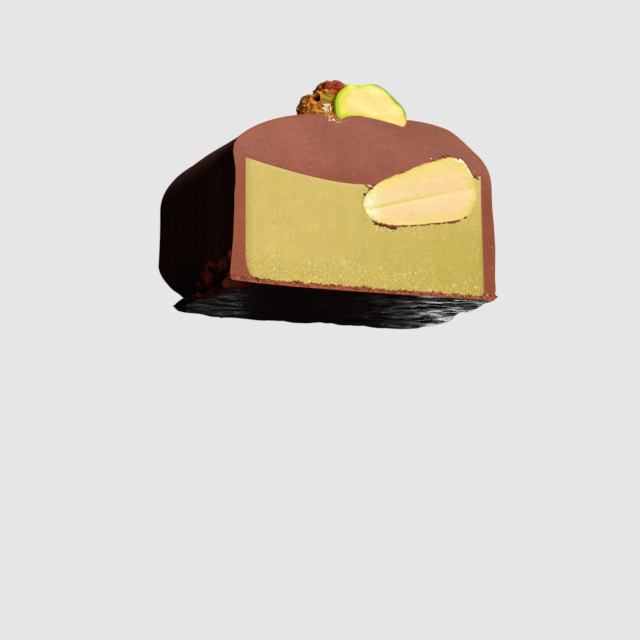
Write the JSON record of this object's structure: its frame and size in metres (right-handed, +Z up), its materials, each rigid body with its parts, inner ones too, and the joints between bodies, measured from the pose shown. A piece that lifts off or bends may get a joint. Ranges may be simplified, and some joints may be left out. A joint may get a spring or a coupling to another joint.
{
  "type": "pistachio praline",
  "caption": "Cut half of a milk chocolate praline that shows its pistachio filling and a halved kernel, with pieces of nut on its domed top.",
  "frame": {"origin": "middle of the praline's footprint, on its flat base", "axes": "+X to the right along the cut face, -Y out of the cut face, +Z up"},
  "size_m": [0.0353, 0.0274, 0.0269],
  "materials": {
    "milk_chocolate": "milk chocolate: smooth and glossy where moulded, satin and faintly smeared where cut",
    "pistachio_cream": "smooth satin nut cream, sandy with pale grains near the base",
    "raw_kernel": "pale cut kernel, peach in the middle and yellow green at its rim and seam",
    "green_kernel": "pale cut kernel with a lime green skin",
    "roasted_kernel": "wrinkled brown roasted skin over an olive, streaked kernel"
  },
  "bodies": {
    "root": {"chocolate_shell": "milk_chocolate", "pistachio_filling": "pistachio_cream", "cut_kernel": "raw_kernel", "topping_kernel": "green_kernel", "topping_roasted_kernel": "roasted_kernel"}
  },
  "joints": []
}
